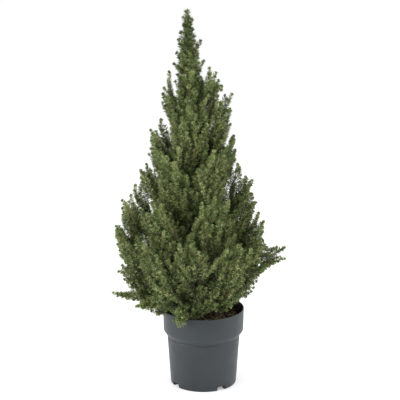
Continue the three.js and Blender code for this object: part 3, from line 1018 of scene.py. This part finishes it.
SIDES = 96
RIM_HEIGHT = 183.0
# The pot's wall from its foot to its rim: radius, height, and how far the corner is rounded.
OUTER_WALL = (
    (77.0, 0.0, 2.6),
    (85.1, 113.6, 0.5),
    (84.2, 115.2, 0.4),
    (84.3, 116.8, 0.4),
    (85.6, 118.4, 1.0),
    (94.0, 131.0, 3.0),
    (95.0, RIM_HEIGHT, 0.8),
)
INNER_WALL = (
    (93.0, RIM_HEIGHT, 0.8),
    (92.0, 131.0, 1.5),
    (83.4, 118.4, 1.0),
    (75.0, 7.0, 2.0),
    (47.0, 7.0, 1.0),
    (43.5, 2.0, 1.0),
)
UNDERSIDE = ((44.0, 0.0, 0.8), (47.0, 5.0, 0.8), (63.0, 5.0, 0.8), (66.0, 0.0, 0.8))


def select_edges(piece, test):
    """In edit mode, selects just the edges whose two ends pass a test."""
    bpy.ops.mesh.select_mode(type="EDGE")
    bpy.ops.mesh.select_all(action="DESELECT")
    mesh = bmesh.from_edit_mesh(piece.data)
    for edge in mesh.edges:
        edge.select_set(all(test(vertex.co) for vertex in edge.verts))
    bmesh.update_edit_mesh(piece.data)


def on_ring(radius, height):
    """A test for corners that lie on a level ring about the pot's axis."""
    near = 1e-5
    return lambda co: (
        abs(math.hypot(co.x, co.y) - radius * MM) < near and abs(co.z - height * MM) < near
    )


def turned_piece(name, profile, sides):
    """A turned solid: one ring extruded and scaled along a profile, and its corners rounded."""
    deselect_all()
    radius, height, _ = profile[0]
    place = (0, 0, height * MM)
    bpy.ops.mesh.primitive_circle_add(vertices=sides, radius=radius * MM, location=place)
    piece = bpy.context.object
    piece.name = name
    bpy.ops.object.transform_apply(location=True)
    bpy.ops.object.mode_set(mode="EDIT")
    bpy.ops.mesh.select_all(action="SELECT")
    bpy.ops.mesh.edge_face_add()
    select_edges(piece, on_ring(radius, height))
    for (r0, z0, _), (r1, z1, _) in zip(profile, profile[1:]):
        bpy.ops.mesh.extrude_edges_move(TRANSFORM_OT_translate={"value": (0, 0, (z1 - z0) * MM)})
        bpy.ops.transform.resize(value=(r1 / r0, r1 / r0, 1), center_override=(0, 0, z1 * MM))
    bpy.ops.mesh.edge_face_add()
    for radius, height, corner in profile:
        if corner:
            select_edges(piece, on_ring(radius, height))
            bpy.ops.mesh.bevel(offset=corner * MM, segments=3, affect="EDGES")
    bpy.ops.mesh.select_all(action="SELECT")
    bpy.ops.mesh.normals_make_consistent(inside=False)
    bpy.ops.object.mode_set(mode="OBJECT")
    return piece


ARCH_WIDTH, ARCH_HEIGHT, ARCH_CORNER, ARCH_TURN = 22, 10, 4, -57


def arch_cutters():
    """Four rounded blocks, one for each arch in the pot's foot."""
    deselect_all()
    bpy.ops.mesh.primitive_cube_add(size=1, location=(72 * MM, 0, 0))
    cutter = bpy.context.object
    cutter.scale = (24 * MM, ARCH_WIDTH * MM, 2 * ARCH_HEIGHT * MM)
    bpy.ops.object.transform_apply(location=True, scale=True)
    bpy.ops.object.mode_set(mode="EDIT")
    for side in (-1, 1):
        select_edges(cutter, lambda co: co.z > 0 and co.y * side > 0)
        bpy.ops.mesh.bevel(offset=ARCH_CORNER * MM, segments=5, affect="EDGES")
    bpy.ops.object.mode_set(mode="OBJECT")
    cutters = [cutter]
    for _ in range(3):
        bpy.ops.object.duplicate()
        cutters.append(bpy.context.object)
    deselect_all()
    for turn, block in enumerate(cutters):
        block.rotation_euler.z = math.radians(ARCH_TURN - 90 + 90 * turn)
        block.select_set(True)
    bpy.context.view_layer.objects.active = cutters[0]
    bpy.ops.object.transform_apply(rotation=True)
    bpy.ops.object.join()
    return bpy.context.object


def model_pot():
    """The pot, turned, with its four arches cut out."""
    pot = turned_piece("pot_shell", UNDERSIDE + OUTER_WALL + INNER_WALL, SIDES)
    cutter = arch_cutters()
    cut = pot.modifiers.new("arches", "BOOLEAN")
    cut.object = cutter
    cut.operation = "DIFFERENCE"
    cut.solver = "EXACT"
    apply_modifiers(pot)
    bpy.data.objects.remove(cutter)
    pot.data.materials.append(bpy.data.materials["slate_plastic"])
    deselect_all()
    bpy.context.view_layer.objects.active = pot
    pot.select_set(True)
    bpy.ops.object.shade_smooth_by_angle(angle=math.radians(32))
    hand_over(pot, "pot_plastic", "pot")


SOIL_TOP = 163.0
SOIL_VOXEL = 2.4 * MM
HEAVED = 90 * MM  # the radius inside which the peat's top is uneven
HEAVES = (("heaps", 22, 6.0), ("clods", 7, 3.0))  # millimetres across and deep
SOIL_PROFILE = ((74.4, 8.0, 0), (82.8, 118.6, 0), (91.3, 131.2, 0), (92.0, SOIL_TOP, 1.5))


def model_soil():
    """The root ball with its uneven top."""
    soil = turned_piece("root_ball", SOIL_PROFILE, SIDES)
    clod = soil.modifiers.new("clod", "REMESH")
    clod.mode = "VOXEL"
    clod.voxel_size = SOIL_VOXEL
    apply_modifiers(soil)
    top = soil.vertex_groups.new(name="top")
    inside = [
        v.index
        for v in soil.data.vertices
        if v.co.z > (SOIL_TOP - 3) * MM and math.hypot(v.co.x, v.co.y) < HEAVED
    ]
    top.add(inside, 1, "REPLACE")
    for name, size, depth in HEAVES:
        cloud = bpy.data.textures.new(name, "CLOUDS")
        cloud.noise_scale = size * MM
        heave = soil.modifiers.new(name, "DISPLACE")
        heave.texture = cloud
        heave.texture_coords = "LOCAL"
        heave.vertex_group = "top"
        heave.direction = "Z"
        heave.strength = depth * MM
        heave.mid_level = 0.6
    apply_modifiers(soil)
    soil.data.materials.append(bpy.data.materials["damp_peat"])
    hand_over(soil, "peat", "soil")
    return soil


CRUMB_COUNT, CRUMB_SPREAD = 750, 89 * MM  # how many, and within what radius
FALLEN_COUNT, FALLEN_SPREAD = 620, 88 * MM
CRUMB_SIZE = (0.9, 3.0)  # millimetres
FALLEN_LENGTH = (6, 9)


def on_soil(tree, count, spread):
    """That many places on the peat, spread evenly over a disc."""
    angle = rng.uniform(0, 2 * math.pi, count)
    radius = spread * np.sqrt(rng.random(count))
    spots = []
    for x, y in zip(radius * np.cos(angle), radius * np.sin(angle)):
        hit = tree.ray_cast(Vector((x, y, 0.3)), Vector((0, 0, -1)))[0]
        if hit is not None:
            spots.append(tuple(hit))
    return np.array(spots)


def scatter_on_soil(soil):
    """Crumbs of peat and fallen needles."""
    corners = [v.co.copy() for v in soil.data.vertices]
    tree = BVHTree.FromPolygons(corners, [p.vertices[:] for p in soil.data.polygons])
    deselect_all()
    bpy.ops.mesh.primitive_ico_sphere_add(subdivisions=1, radius=1)
    ball = bpy.context.object
    lump = np.array([v.co[:] for v in ball.data.vertices])
    lump_faces = np.array([p.vertices[:] for p in ball.data.polygons])
    bpy.data.objects.remove(ball)
    spots = on_soil(tree, CRUMB_COUNT, CRUMB_SPREAD)
    sizes = rng.uniform(*CRUMB_SIZE, (len(spots), 1, 1)) * MM
    shapes = lump[None] * rng.uniform(0.55, 1.2, (len(spots), len(lump), 1))
    points = spots[:, None] + sizes * shapes * rng.uniform(0.6, 1.3, (len(spots), 1, 3))
    faces = lump_faces[None] + (np.arange(len(spots)) * len(lump))[:, None, None]
    tints = rng.choice(3, len(spots), p=(0.5, 0.35, 0.15))
    crumbs = mesh_piece(
        "peat_crumbs", points.reshape(-1, 3), faces.reshape(-1, 3), list(CRUMB_TINTS),
        np.repeat(tints, len(lump_faces)),
    )
    hand_over(crumbs, "peat")
    spots = on_soil(tree, FALLEN_COUNT, FALLEN_SPREAD) + [0, 0, 1.0 * MM]
    turn = rng.uniform(0, 2 * math.pi, len(spots))
    ways = unit(np.stack([np.cos(turn), np.sin(turn), rng.normal(0.1, 0.25, len(spots))], axis=1))
    points, faces = needle_mesh(spots, ways, rng.uniform(*FALLEN_LENGTH, len(spots)) * MM)
    tints = np.repeat(rng.choice(3, len(spots), p=(0.6, 0.25, 0.15)), len(NEEDLE_FACES))
    names = ["needle_dead", "twig_young", "needle_olive"]
    fallen = mesh_piece("fallen_needles", points, faces, names, tints)
    hand_over(fallen, "needles")


def main():
    add_camera()
    make_materials()
    add_studio()
    model_pot()
    soil = model_soil()
    scatter_on_soil(soil)
    wood = Wood()
    limbs = grow_limbs(wood)
    tips = find_tips([(line[-1], kind) for line, _, kind in limbs])
    shoots = limbs + grow_shoots(wood, tips)
    radii = wood_radii(wood)
    needles = dress(shoots)
    twigs = grow_twigs(wood, radii)
    skin = grow_bark(wood, radii)
    hand_over(twigs, "bark")
    hand_over(skin, "bark", "trunk", *BOUGHS)
    for piece in needles:
        hand_over(piece, "needles", *MASSES)


main()
